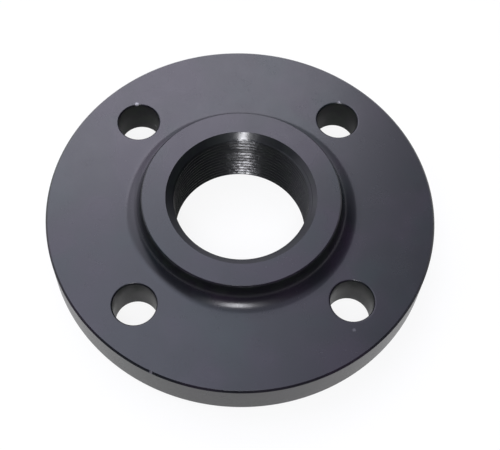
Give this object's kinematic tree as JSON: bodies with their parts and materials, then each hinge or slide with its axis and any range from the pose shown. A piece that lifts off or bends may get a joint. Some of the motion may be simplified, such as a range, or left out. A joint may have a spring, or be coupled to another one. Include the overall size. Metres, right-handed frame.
{
  "type": "threaded flange",
  "caption": "Round steel pipe flange with a raised hub, a tapped bore through the middle, bolt holes in the disc and a raised gasket face underneath.",
  "frame": {"origin": "centre of the bore in the plane of the raised gasket face", "axes": "+Z along the bore, from the gasket face to the hub's end; the bolt holes straddle the X and Y axes"},
  "size_m": [0.165, 0.165, 0.03],
  "materials": {
    "black_steel": "satin"
  },
  "bodies": {
    "root": {"flange": "black_steel"}
  },
  "joints": []
}
